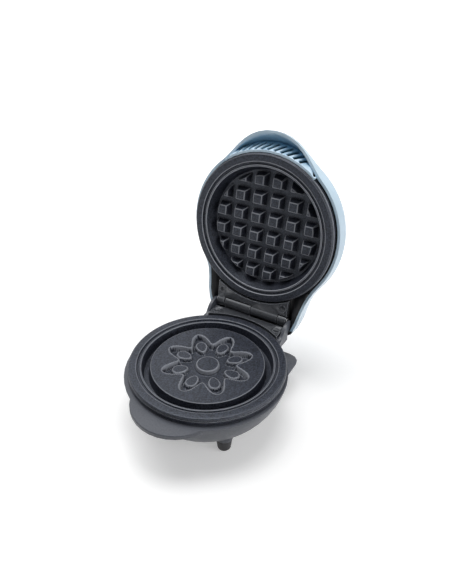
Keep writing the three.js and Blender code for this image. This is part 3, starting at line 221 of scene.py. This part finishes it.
def node(tree, kind, fed=None, **settings):
    """A new node with its settings, and with its inputs fed by name or by place."""
    made = tree.nodes.new(kind)
    for name, value in settings.items():
        setattr(made, name, value)
    for socket, value in (fed or {}).items():
        feed(tree, made.inputs[socket], value)
    return made


def reckon(tree, operation, *values):
    """A Math node over one, two or three values."""
    return node(tree, "ShaderNodeMath", dict(enumerate(values)), operation=operation).outputs[0]


def ranged(tree, value, low, high, span=NOISE_SPAN):
    """The value, brought from its span to the range from low to high."""
    spread = node(tree, "ShaderNodeMapRange", {
        "Value": value, "From Min": span[0], "From Max": span[1], "To Min": low, "To Max": high})
    return spread.outputs["Result"]


# Finishes

def grain(tree, size, detail):
    """Noise on Object coordinates, with grains of about the given size."""
    place = node(tree, "ShaderNodeTexCoord").outputs["Object"]
    return node(
        tree, "ShaderNodeTexNoise", {"Vector": place, "Scale": 1 / size, "Detail": detail}).outputs["Fac"]


def mixed(tree, share, first, second):
    """Two colours mixed by the share of the second."""
    mix = node(
        tree, "ShaderNodeMix", {"Factor": share, "A": first, "B": second}, data_type="RGBA")
    return mix.outputs["Result"]


def tinted(tree, colour, value, dark, light):
    """The colour, from dark to light shares of itself as the value goes from low to high."""
    return mixed(
        tree, ranged(tree, value, 0.0, 1.0),
        (*[c * dark for c in colour], 1), (*[min(c * light, 1.0) for c in colour], 1))


def edge_share(tree, soft_normal):
    """From 0 on a flat face to 1 on an edge, where the softened normal leaves the plain one."""
    plain = node(tree, "ShaderNodeNewGeometry").outputs["Normal"]
    along = node(tree, "ShaderNodeVectorMath", {0: plain, 1: soft_normal}, operation="DOT_PRODUCT")
    off = reckon(tree, "SUBTRACT", 1.0, along.outputs["Value"])
    lifted = reckon(tree, "MULTIPLY", off, EDGE_GAIN)
    lifted.node.use_clamp = True
    return lifted


def finish(name, colour, roughness, metallic=0.0, edge=0.3 * MM, grain_size=0.6 * MM, grain_height=0.0,
           grain_share=0.06, grain_and_glint_light=None, wander=0.05, edge_highlight_colour=None, painted_shade_colour=None,
           **sockets):
    """A principled finish with softened edges, a fine grain and a slow drift in roughness, with painted highlights
    along edges and painted shade in hollows where asked.
    """
    material = bpy.data.materials.new(name)
    material.use_nodes = True
    material.diffuse_color = (*colour, 1)
    tree = material.node_tree
    fine = grain(tree, grain_size, FINE_DETAIL)
    slow = grain(tree, DRIFT_SIZE, DRIFT_DETAIL)
    normal = node(tree, "ShaderNodeBevel", {"Radius": edge}, samples=SOFT_SAMPLES).outputs["Normal"]
    face = tinted(tree, colour, fine, 1 - grain_share, grain_and_glint_light or 1 + grain_share)
    # Painted highlight: a lighter line along rounded edges and marked faces
    if edge_highlight_colour:
        mark = node(tree, "ShaderNodeAttribute", attribute_name=EDGE_HIGHLIGHT_MARK).outputs["Fac"]
        line = reckon(tree, "MAXIMUM", mark, edge_share(tree, normal))
        face = mixed(tree, line, face, (*edge_highlight_colour, 1))
    # Painted shade: the colour goes towards the given shade colour where ambient occlusion finds walls close by
    if painted_shade_colour:
        sky = node(
            tree, "ShaderNodeAmbientOcclusion", {"Distance": PAINTED_SHADE_REACH}, samples=PAINTED_SHADE_SAMPLES)
        open_share = ranged(tree, sky.outputs["AO"], 0.0, 1.0, PAINTED_SHADE_SPAN)
        face = mixed(tree, open_share, (*painted_shade_colour, 1), face)
    if grain_height:
        bump = node(tree, "ShaderNodeBump", {"Distance": grain_height, "Height": fine, "Normal": normal})
        normal = bump.outputs["Normal"]
    shader = tree.nodes["Principled BSDF"]
    fed = {
        "Base Color": face,
        "Metallic": metallic,
        "Roughness": ranged(tree, slow, roughness - wander, roughness + wander),
        "Normal": normal,
    }
    for socket, value in (*fed.items(), *sockets.items()):
        feed(tree, shader.inputs[socket.replace("_", " ")], value)
    return material


FINISHES = {
    "charcoal_body": finish(
        "satin_charcoal", (0.079, 0.086, 0.104), 0.40, grain_size=1.2 * MM, grain_height=0.08 * MM,
        grain_share=0.14),
    # Nonstick: the grain's light specks are partly the pebbled coat's tone and partly painted glints; the edge
    # colour is a painted highlight
    "nonstick": finish(
        "pebbled_nonstick", (0.008, 0.009, 0.013), 0.4, edge=0.45 * MM, grain_size=1.1 * MM,
        grain_height=0.3 * MM, grain_share=0.9, grain_and_glint_light=5.0, edge_highlight_colour=(0.46, 0.48, 0.53),
        Specular_IOR_Level=0.5, Specular_Tint=(0.82, 0.89, 1.0, 1.0)),
    # Pale blue plastic, with painted shade of a deeper blue inside the shell's hollows
    "pale_blue": finish(
        "pale_blue_gloss", (0.60, 0.76, 0.89), 0.25, grain_share=0.01, grain_height=0.004 * MM, wander=0.01,
        painted_shade_colour=(0.26, 0.50, 0.70)),
    "black_plastic": finish("black_moulding", (0.014, 0.015, 0.018), 0.45, grain_height=0.01 * MM),
    "foot_black": finish("foot_moulding", (0.034, 0.033, 0.038), 0.5, grain_height=0.01 * MM),
    # Black paint: the edge colour is a painted highlight along its edges
    "hinge_black": finish(
        "black_paint", (0.010, 0.011, 0.014), 0.48, edge=0.4 * MM, grain_size=1.2 * MM,
        grain_height=0.08 * MM, grain_share=0.6, grain_and_glint_light=3.0, edge_highlight_colour=(0.40, 0.42, 0.46),
        Specular_IOR_Level=0.8, Specular_Tint=(0.88, 0.93, 1.0, 1.0), Coat_Weight=0.5,
        Coat_Roughness=0.34, Coat_IOR=1.6),
    "steel": finish(
        "plain_steel", (0.45, 0.45, 0.46), 0.33, metallic=1.0, edge=0.12 * MM, grain_height=0.004 * MM),
    "tinplate": finish("tinned_sheet", (0.52, 0.53, 0.54), 0.42, metallic=1.0, edge=0.2 * MM),
    "ceramic": finish("fired_ceramic", (0.78, 0.74, 0.66), 0.55, grain_height=0.01 * MM),
    "lens_red": finish("red_lens", (0.43, 0.02, 0.015), 0.12, wander=0.02, Transmission_Weight=0.35),
    "lamp_glass": finish("lamp_bulb", (0.79, 0.45, 0.26), 0.06, wander=0.02, Transmission_Weight=0.7),
}
SLOT_OF = {entry["node"]: entry["material_slot"] for entry in frame["record"]["subparts"]}
BODY_OF = {
    name: body for body, names in frame["record"]["behaviour"]["bodies"].items() for name in names
}


# Making pieces

def shade(mesh, sharp):
    """Smooth shading, apart from the edges that turn by the given angle or more."""
    mesh.shade_smooth()
    mesh.set_sharp_from_angle(angle=sharp)


def piece(name, mesh, solid, matrix=None):
    """A finished piece in place of one CAD node, with that node's finish and motion."""
    if matrix:
        mesh.transform(matrix)
    mesh.materials.clear()
    mesh.materials.append(FINISHES[SLOT_OF[solid]])
    made = put(name, mesh)
    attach(made, BODY_OF[solid])
    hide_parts(solid)


def merged_copy(name):
    """A CAD node's mesh with its loose triangles joined and its flat faces made whole."""
    work = bmesh.new()
    work.from_mesh(frame["nodes"][name].data)
    bmesh.ops.remove_doubles(work, verts=work.verts, dist=MERGE_DISTANCE)
    bmesh.ops.dissolve_limit(work, angle_limit=FLAT_TURN, verts=work.verts, edges=work.edges)
    bmesh.ops.triangulate(work, faces=[face for face in work.faces if len(face.verts) > 4])
    mesh = bpy.data.meshes.new(name + "_surface")
    work.to_mesh(mesh)
    work.free()
    shade(mesh, SHARP_SOLID)
    return mesh


def mesh_of(name, verts, faces):
    """A mesh whose faces point outwards."""
    mesh = bpy.data.meshes.new(name)
    mesh.from_pydata(verts, [], faces)
    mesh.validate()
    work = bmesh.new()
    work.from_mesh(mesh)
    bmesh.ops.recalc_face_normals(work, faces=work.faces)
    work.to_mesh(mesh)
    work.free()
    return mesh


def plain_mesh(name, holder):
    """What an object's modifiers make of its mesh. The object goes."""
    bpy.context.view_layer.update()
    seen = holder.evaluated_get(bpy.context.evaluated_depsgraph_get())
    mesh = bpy.data.meshes.new_from_object(seen)
    mesh.name = name
    bpy.data.objects.remove(holder)
    return mesh


def rounded(profile, radius=CAST_ROUND):
    """A line of (r, z) points with its corners rounded, apart from its two ends."""
    points = [Vector(p) for p in profile]
    line = [points[0]]
    for before, corner, after in zip(points, points[1:], points[2:]):
        into, out = (before - corner), (after - corner)
        back = min(radius, into.length * ROUND_REACH, out.length * ROUND_REACH)
        start, end = corner + into.normalized() * back, corner + out.normalized() * back
        for step in range(ROUND_STEPS + 1):
            t = step / ROUND_STEPS
            line.append((1 - t) ** 2 * start + 2 * t * (1 - t) * corner + t ** 2 * end)
    line.append(points[-1])
    return line


def turned(name, line, relief=None, relief_rings=0, steps=TURN_STEPS):
    """A line of (r, z) points turned about Z, with a relief over its first rings."""
    inner = line[1:-1]
    verts = []
    for ring, point in enumerate(inner):
        for step in range(steps):
            angle = 2 * math.pi * step / steps
            rise = relief(point.x, angle) if ring < relief_rings else 0
            verts.append((point.x * math.cos(angle), point.x * math.sin(angle), point.y + rise))
    start, end = len(verts), len(verts) + 1
    verts.append((0, 0, line[0].y + (relief(0, 0) if relief_rings else 0)))
    verts.append((0, 0, line[-1].y))
    faces = []
    for ring in range(len(inner) - 1):
        for step in range(steps):
            a, b = ring * steps + step, ring * steps + (step + 1) % steps
            faces.append((a, b, b + steps, a + steps))
    last = (len(inner) - 1) * steps
    for step in range(steps):
        after = (step + 1) % steps
        faces.append((start, after, step))
        faces.append((end, last + step, last + after))
    return mesh_of(name, verts, faces)


def soften(x):
    """From 0 to 1 as x does, with a slow start and end."""
    x = min(max(x, 0.0), 1.0)
    return x * x * (3 - 2 * x)


def mark_highlight_edges(mesh, share):
    """Marks the narrow faces that round a convex edge, for the painted highlight line along it."""
    work = bmesh.new()
    work.from_mesh(mesh)
    layer = work.faces.layers.float.new(EDGE_HIGHLIGHT_MARK)
    for face in work.faces:
        width = face.calc_area() / max(edge.calc_length() for edge in face.edges)
        if width < MARK_WIDTH:
            turns = sorted((edge.calc_face_angle_signed(0) for edge in face.edges), reverse=True)
            face[layer] = share * soften((turns[0] + turns[1] - MARK_LEAST) / MARK_SPAN)
    work.to_mesh(mesh)
    work.free()


# Cooking plates

def skirt(down):
    """The outside of a plate's skirt from its rim, with the groove, going down or up."""
    groove_radius = PLATE_RADIUS - GROOVE_DEPTH
    groove_end = GROOVE_TOP + GROOVE_HEIGHT
    return [
        (RIM_FLAT, 0), (PLATE_RADIUS, down * RIM_FALL), (PLATE_RADIUS, down * GROOVE_TOP),
        (groove_radius, down * GROOVE_TOP), (groove_radius, down * groove_end),
        (PLATE_RADIUS, down * groove_end), (PLATE_RADIUS, down * SKIRT_HEIGHT),
        (PLATE_RADIUS - SKIRT_STOCK, down * SKIRT_HEIGHT), (PLATE_RADIUS - SKIRT_STOCK, down * PLATE_STOCK),
    ]


def bead_and_ring(down):
    """The bead and the narrow ring groove inside a plate's rim, going down or up."""
    return [
        (BEAD_INNER, down * BEAD_DEPTH), (BEAD_OUTER, down * BEAD_DEPTH), (RING_INNER, down * RING_DEPTH),
        (RING_OUTER, down * RING_DEPTH), (RIM_INNER, 0),
    ]


def flower_height(radius, angle):
    """Height of the flower relief over the raised disc, at a polar place."""
    edge = FLOWER_RADIUS + FLOWER_WAVE * math.cos(FLOWER_PETALS * angle)
    inside = soften((edge - radius) / FLOWER_SLOPE)
    pitch = 2 * math.pi / FLOWER_PETALS
    turn = angle - pitch * round(angle / pitch)
    x, y = radius * math.cos(turn), radius * math.sin(turn)
    along = (x - (PETAL_INNER + PETAL_OUTER) / 2) / ((PETAL_OUTER - PETAL_INNER) / 2)
    width = PETAL_HALF_WIDTH * (1 + PETAL_SWELL * along)
    petal = 1 - math.hypot(along, y / width) if width > 0 else 0
    rise = PETAL_RISE * soften(petal * PETAL_HALF_WIDTH / PETAL_SLOPE)
    rise = max(rise, BUTTON_RISE * soften((BUTTON_RADIUS - radius) / PETAL_SLOPE))
    return (rise - FLOWER_DEPTH) * inside


def lower_plate():
    """The cast lower plate: raised disc with its relief, moat, rim and skirt."""
    line = rounded([
        (0, -DISC_DEPTH), (DISC_RADIUS, -DISC_DEPTH), (MOAT_INNER, -MOAT_DEPTH), (MOAT_OUTER, -MOAT_DEPTH),
        *bead_and_ring(-1), *skirt(-1), (BEAD_INNER + 2 * PLATE_STOCK, -RING_DEPTH - PLATE_STOCK),
        (MOAT_OUTER + PLATE_STOCK, -MOAT_DEPTH - PLATE_STOCK),
        (MOAT_INNER - PLATE_STOCK, -MOAT_DEPTH - PLATE_STOCK), (0, -MOAT_DEPTH - PLATE_STOCK),
    ])
    rings = int(line[1].x / RELIEF_STEP)
    disc = [Vector((line[1].x * ring / rings, -DISC_DEPTH)) for ring in range(rings)]
    return turned("lower_plate_surface", disc + line[1:], flower_height, rings)


def upper_pan():
    """The cast upper plate without its grid."""
    line = rounded([
        (0, PAN_DEPTH), (PAN_FLOOR, PAN_DEPTH), *bead_and_ring(1), *skirt(1),
        (BEAD_INNER + 2 * PLATE_STOCK, RING_DEPTH + PLATE_STOCK),
        (PAN_FLOOR + PLATE_STOCK, PAN_DEPTH + PLATE_STOCK), (0, PAN_DEPTH + PLATE_STOCK),
    ])
    return turned("upper_pan_surface", line)


# Grid of the upper plate

def square_rows(tree, given):
    """Points of a square grid."""
    span = reckon(tree, "MULTIPLY", given["Pitch"], reckon(tree, "SUBTRACT", given["Rows"], 1))
    grid = node(tree, "GeometryNodeMeshGrid", {
        "Size X": span, "Size Y": span, "Vertices X": given["Rows"], "Vertices Y": given["Rows"]})
    return grid.outputs["Mesh"]


def tapered_block(tree, given):
    """One block, which is narrower at its lower end."""
    size = node(tree, "ShaderNodeCombineXYZ", {
        "X": given["Block Base"], "Y": given["Block Base"], "Z": given["Block Height"]})
    block = node(tree, "GeometryNodeMeshCube", {"Size": size.outputs[0]})
    place = node(tree, "GeometryNodeInputPosition").outputs[0]
    parts = node(tree, "ShaderNodeSeparateXYZ", {0: place}).outputs
    narrow = reckon(tree, "DIVIDE", given["Block Top"], given["Block Base"])
    low = reckon(tree, "LESS_THAN", parts["Z"], 0)
    share = reckon(tree, "ADD", 1, reckon(tree, "MULTIPLY", low, reckon(tree, "SUBTRACT", narrow, 1)))
    moved = node(tree, "ShaderNodeCombineXYZ", {
        "X": reckon(tree, "MULTIPLY", parts["X"], share),
        "Y": reckon(tree, "MULTIPLY", parts["Y"], share),
        "Z": parts["Z"],
    })
    tapered = node(tree, "GeometryNodeSetPosition", {
        "Geometry": block.outputs["Mesh"], "Position": moved.outputs[0]})
    return tapered.outputs["Geometry"]


def round_cutter(tree, given):
    """A round taper about the middle of the blocks' height, which cuts off the grid."""
    cone = node(tree, "GeometryNodeMeshCone", {
        "Vertices": GRID_ROUND_STEPS,
        "Radius Top": given["Grid Radius"],
        "Radius Bottom": reckon(tree, "SUBTRACT", given["Grid Radius"], given["Taper"]),
        "Depth": reckon(tree, "MULTIPLY", given["Block Height"], CUTTER_SHARE),
    })
    down = node(tree, "ShaderNodeCombineXYZ", {
        "Z": reckon(tree, "MULTIPLY", given["Block Height"], -CUTTER_SHARE / 2)})
    centred = node(tree, "GeometryNodeTransform", {
        "Geometry": cone.outputs["Mesh"], "Translation": down.outputs[0]})
    return centred.outputs["Geometry"]


def grid_tree():
    """Blocks of a square grid, cut off by a round taper."""
    tree = bpy.data.node_groups.new("waffle_grid", "GeometryNodeTree")
    tree.interface.new_socket("Rows", in_out="INPUT", socket_type="NodeSocketInt")
    for name in ("Pitch", "Block Base", "Block Top", "Block Height", "Grid Radius", "Taper"):
        tree.interface.new_socket(name, in_out="INPUT", socket_type="NodeSocketFloat")
    tree.interface.new_socket("Finish", in_out="INPUT", socket_type="NodeSocketMaterial")
    tree.interface.new_socket("Geometry", in_out="OUTPUT", socket_type="NodeSocketGeometry")
    given = node(tree, "NodeGroupInput").outputs
    rows = node(tree, "GeometryNodeInstanceOnPoints", {
        "Points": square_rows(tree, given), "Instance": tapered_block(tree, given)})
    apart = node(tree, "GeometryNodeRealizeInstances", {"Geometry": rows.outputs["Instances"]})
    within = node(tree, "GeometryNodeMeshBoolean", operation="INTERSECT", solver="EXACT")
    for shape in (apart.outputs["Geometry"], round_cutter(tree, given)):
        feed(tree, within.inputs["Mesh 2"], shape)
    whole = node(tree, "GeometryNodeRealizeInstances", {"Geometry": within.outputs["Mesh"]})
    painted = node(tree, "GeometryNodeSetMaterial", {
        "Geometry": whole.outputs["Geometry"], "Material": given["Finish"]})
    node(tree, "NodeGroupOutput", {"Geometry": painted.outputs["Geometry"]})
    return tree


def grown(name, tree, **inputs):
    """The plain mesh that a node tree makes with the given inputs."""
    holder = put(name + "_holder", bpy.data.meshes.new(name + "_holder"))
    modifier = holder.modifiers.new("grow", "NODES")
    modifier.node_group = tree
    for item in tree.interface.items_tree:
        if item.in_out == "INPUT":
            modifier[item.identifier] = inputs[item.name.replace(" ", "_")]
    return plain_mesh(name, holder)


def with_round_edges(name, mesh):
    """The blocks with their edges rounded by a Bevel, which is made part of the mesh."""
    holder = put(name + "_holder", mesh)
    bevel = holder.modifiers.new("round", "BEVEL")
    bevel.width = BLOCK_ROUND
    bevel.segments = BLOCK_ROUND_STEPS
    bevel.limit_method = "ANGLE"
    bevel.angle_limit = BLOCK_ROUND_TURN
    bevel.use_clamp_overlap = False
    return plain_mesh(name, holder)


def grid_blocks():
    """The square blocks of the upper plate, on the floor of its pan."""
    blocks = grown(
        "waffle_grid_blocks", grid_tree(), Rows=GRID_ROWS, Pitch=GRID_PITCH, Block_Base=BLOCK_BASE,
        Block_Top=BLOCK_TOP, Block_Height=BLOCK_HEIGHT, Grid_Radius=GRID_RADIUS, Taper=GRID_TAPER,
        Finish=FINISHES["nonstick"])
    mesh = with_round_edges("waffle_grid_surface", blocks)
    mesh.transform(Matrix.Translation((0, 0, PAN_DEPTH - BLOCK_HEIGHT / 2 + BLOCK_SUNK)))
    return mesh


# Feet

def stub_foot(name, width, height):
    """A stub foot with a rounded tip and a spigot, which fills the box of its solid."""
    top = height - FOOT_SPIGOT_LENGTH
    line = rounded([
        (0, 0), (FOOT_TIP_FLAT, 0), (FOOT_TIP_RADIUS, FOOT_TIP_HEIGHT), (width / 2, top),
        (FOOT_SPIGOT_RADIUS, top), (FOOT_SPIGOT_RADIUS, height), (0, height),
    ], FOOT_ROUND)
    return turned(name, line, steps=FOOT_STEPS)


# The pieces

for name, mesh, solid, place, mark, sharp in (
    ("lower_plate_cast", lower_plate(), "base_plate", PLATE_FRAME, MARK_LOWER, SHARP_CAST),
    ("upper_plate_pan", upper_pan(), "lid_plate", LID_FRAME, MARK_PAN, SHARP_CAST),
    ("upper_plate_grid", grid_blocks(), "lid_plate", LID_FRAME, MARK_BLOCKS, SHARP_BLOCKS),
):
    mark_highlight_edges(mesh, mark)
    shade(mesh, sharp)
    piece(name, mesh, solid, place)

for name in FEET:
    low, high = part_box(name)
    foot = stub_foot(name + "_surface", high.x - low.x, high.z - low.z)
    shade(foot, SHARP_FOOT)
    middle = (low + high) / 2
    piece(name + "_stub", foot, name, Matrix.Translation((middle.x, middle.y, low.z)))

# Pieces whose solids have their final shape
for name in sorted(SLOT_OF):
    if name not in ("base_plate", "lid_plate", *FEET):
        piece(name + "_finished", merged_copy(name), name)


# Floor, lights and camera

def floor_material():
    """Pale floor that holds the soft shadow and reads as white where it is lit."""
    material = bpy.data.materials.new("pale_floor")
    material.use_nodes = True
    tree = material.node_tree
    tree.nodes.clear()
    ray = node(tree, "ShaderNodeLightPath").outputs
    seen = reckon(
        tree, "MAXIMUM", ray["Is Camera Ray"],
        reckon(tree, "MAXIMUM", ray["Is Glossy Ray"], ray["Is Transmission Ray"]))
    place = node(tree, "ShaderNodeTexCoord").outputs["Object"]
    away = node(tree, "ShaderNodeVectorMath", {0: place}, operation="LENGTH").outputs["Value"]
    fade = ranged(tree, away, FLOOR_GLOW, 1.0, FLOOR_SPAN)
    matt = node(tree, "ShaderNodeBsdfDiffuse", {"Color": FLOOR_COLOUR})
    glow = node(tree, "ShaderNodeEmission", {"Strength": reckon(tree, "MULTIPLY", seen, fade)})
    both = node(tree, "ShaderNodeAddShader", {0: matt.outputs[0], 1: glow.outputs[0]})
    node(tree, "ShaderNodeOutputMaterial", {"Surface": both.outputs[0]})
    return material


def make_floor():
    mesh = bpy.data.meshes.new("floor")
    corners = [(x * FLOOR_REACH, y * FLOOR_REACH, 0) for x, y in ((-1, -1), (1, -1), (1, 1), (-1, 1))]
    mesh.from_pydata(corners, [], [(0, 1, 2, 3)])
    mesh.materials.append(floor_material())
    put("floor", mesh)


def make_world():
    world = bpy.data.worlds.new("studio")
    world.use_nodes = True
    tree = world.node_tree
    ray = node(tree, "ShaderNodeLightPath").outputs
    way = node(tree, "ShaderNodeTexCoord").outputs["Generated"]
    parts = node(tree, "ShaderNodeSeparateXYZ", {0: way}).outputs
    behind = ranged(tree, parts["Y"], WORLD_FRONT, WORLD_BACK, WORLD_SPAN)
    shine = reckon(tree, "MULTIPLY_ADD", ray["Is Glossy Ray"], WORLD_SHINE - 1, 1)
    lit = reckon(tree, "MAXIMUM", reckon(tree, "MULTIPLY", behind, shine), ray["Is Camera Ray"])
    back = tree.nodes["Background"]
    feed(tree, back.inputs["Color"], WHITE)
    feed(tree, back.inputs["Strength"], lit)
    scene.world = world


def stand(name, data, aim, azimuth, elevation, distance):
    """Stands a lamp or a camera off its aim and turns it there. Azimuth 0 is in front, 90 at the right."""
    a, e = math.radians(azimuth), math.radians(elevation)
    away = Vector((math.sin(a) * math.cos(e), -math.cos(a) * math.cos(e), math.sin(e)))
    made = put(name, data)
    made.location = aim + away * distance
    made.rotation_euler = away.to_track_quat("Z", "Y").to_euler()
    return made


def make_lamps():
    """Square lamps that face the middle of the object."""
    for name, azimuth, elevation, distance, side, power in LAMPS:
        data = bpy.data.lights.new(name, "AREA")
        data.shape = "SQUARE"
        data.size = side
        data.energy = power
        stand(name, data, Vector((0, 0, RIM_HEIGHT)), azimuth, elevation, distance)


def make_camera():
    data = bpy.data.cameras.new("photo_view")
    data.lens = CAMERA_LENS
    data.sensor_width = CAMERA_SENSOR
    data.clip_start = CAMERA_NEAR
    scene.camera = stand(
        "photo_view", data, PLATE_FRAME @ CAMERA_AIM, CAMERA_AZIMUTH, CAMERA_ELEVATION, CAMERA_DISTANCE)


make_floor()
make_world()
make_lamps()
make_camera()
scene.view_settings.view_transform = "Standard"
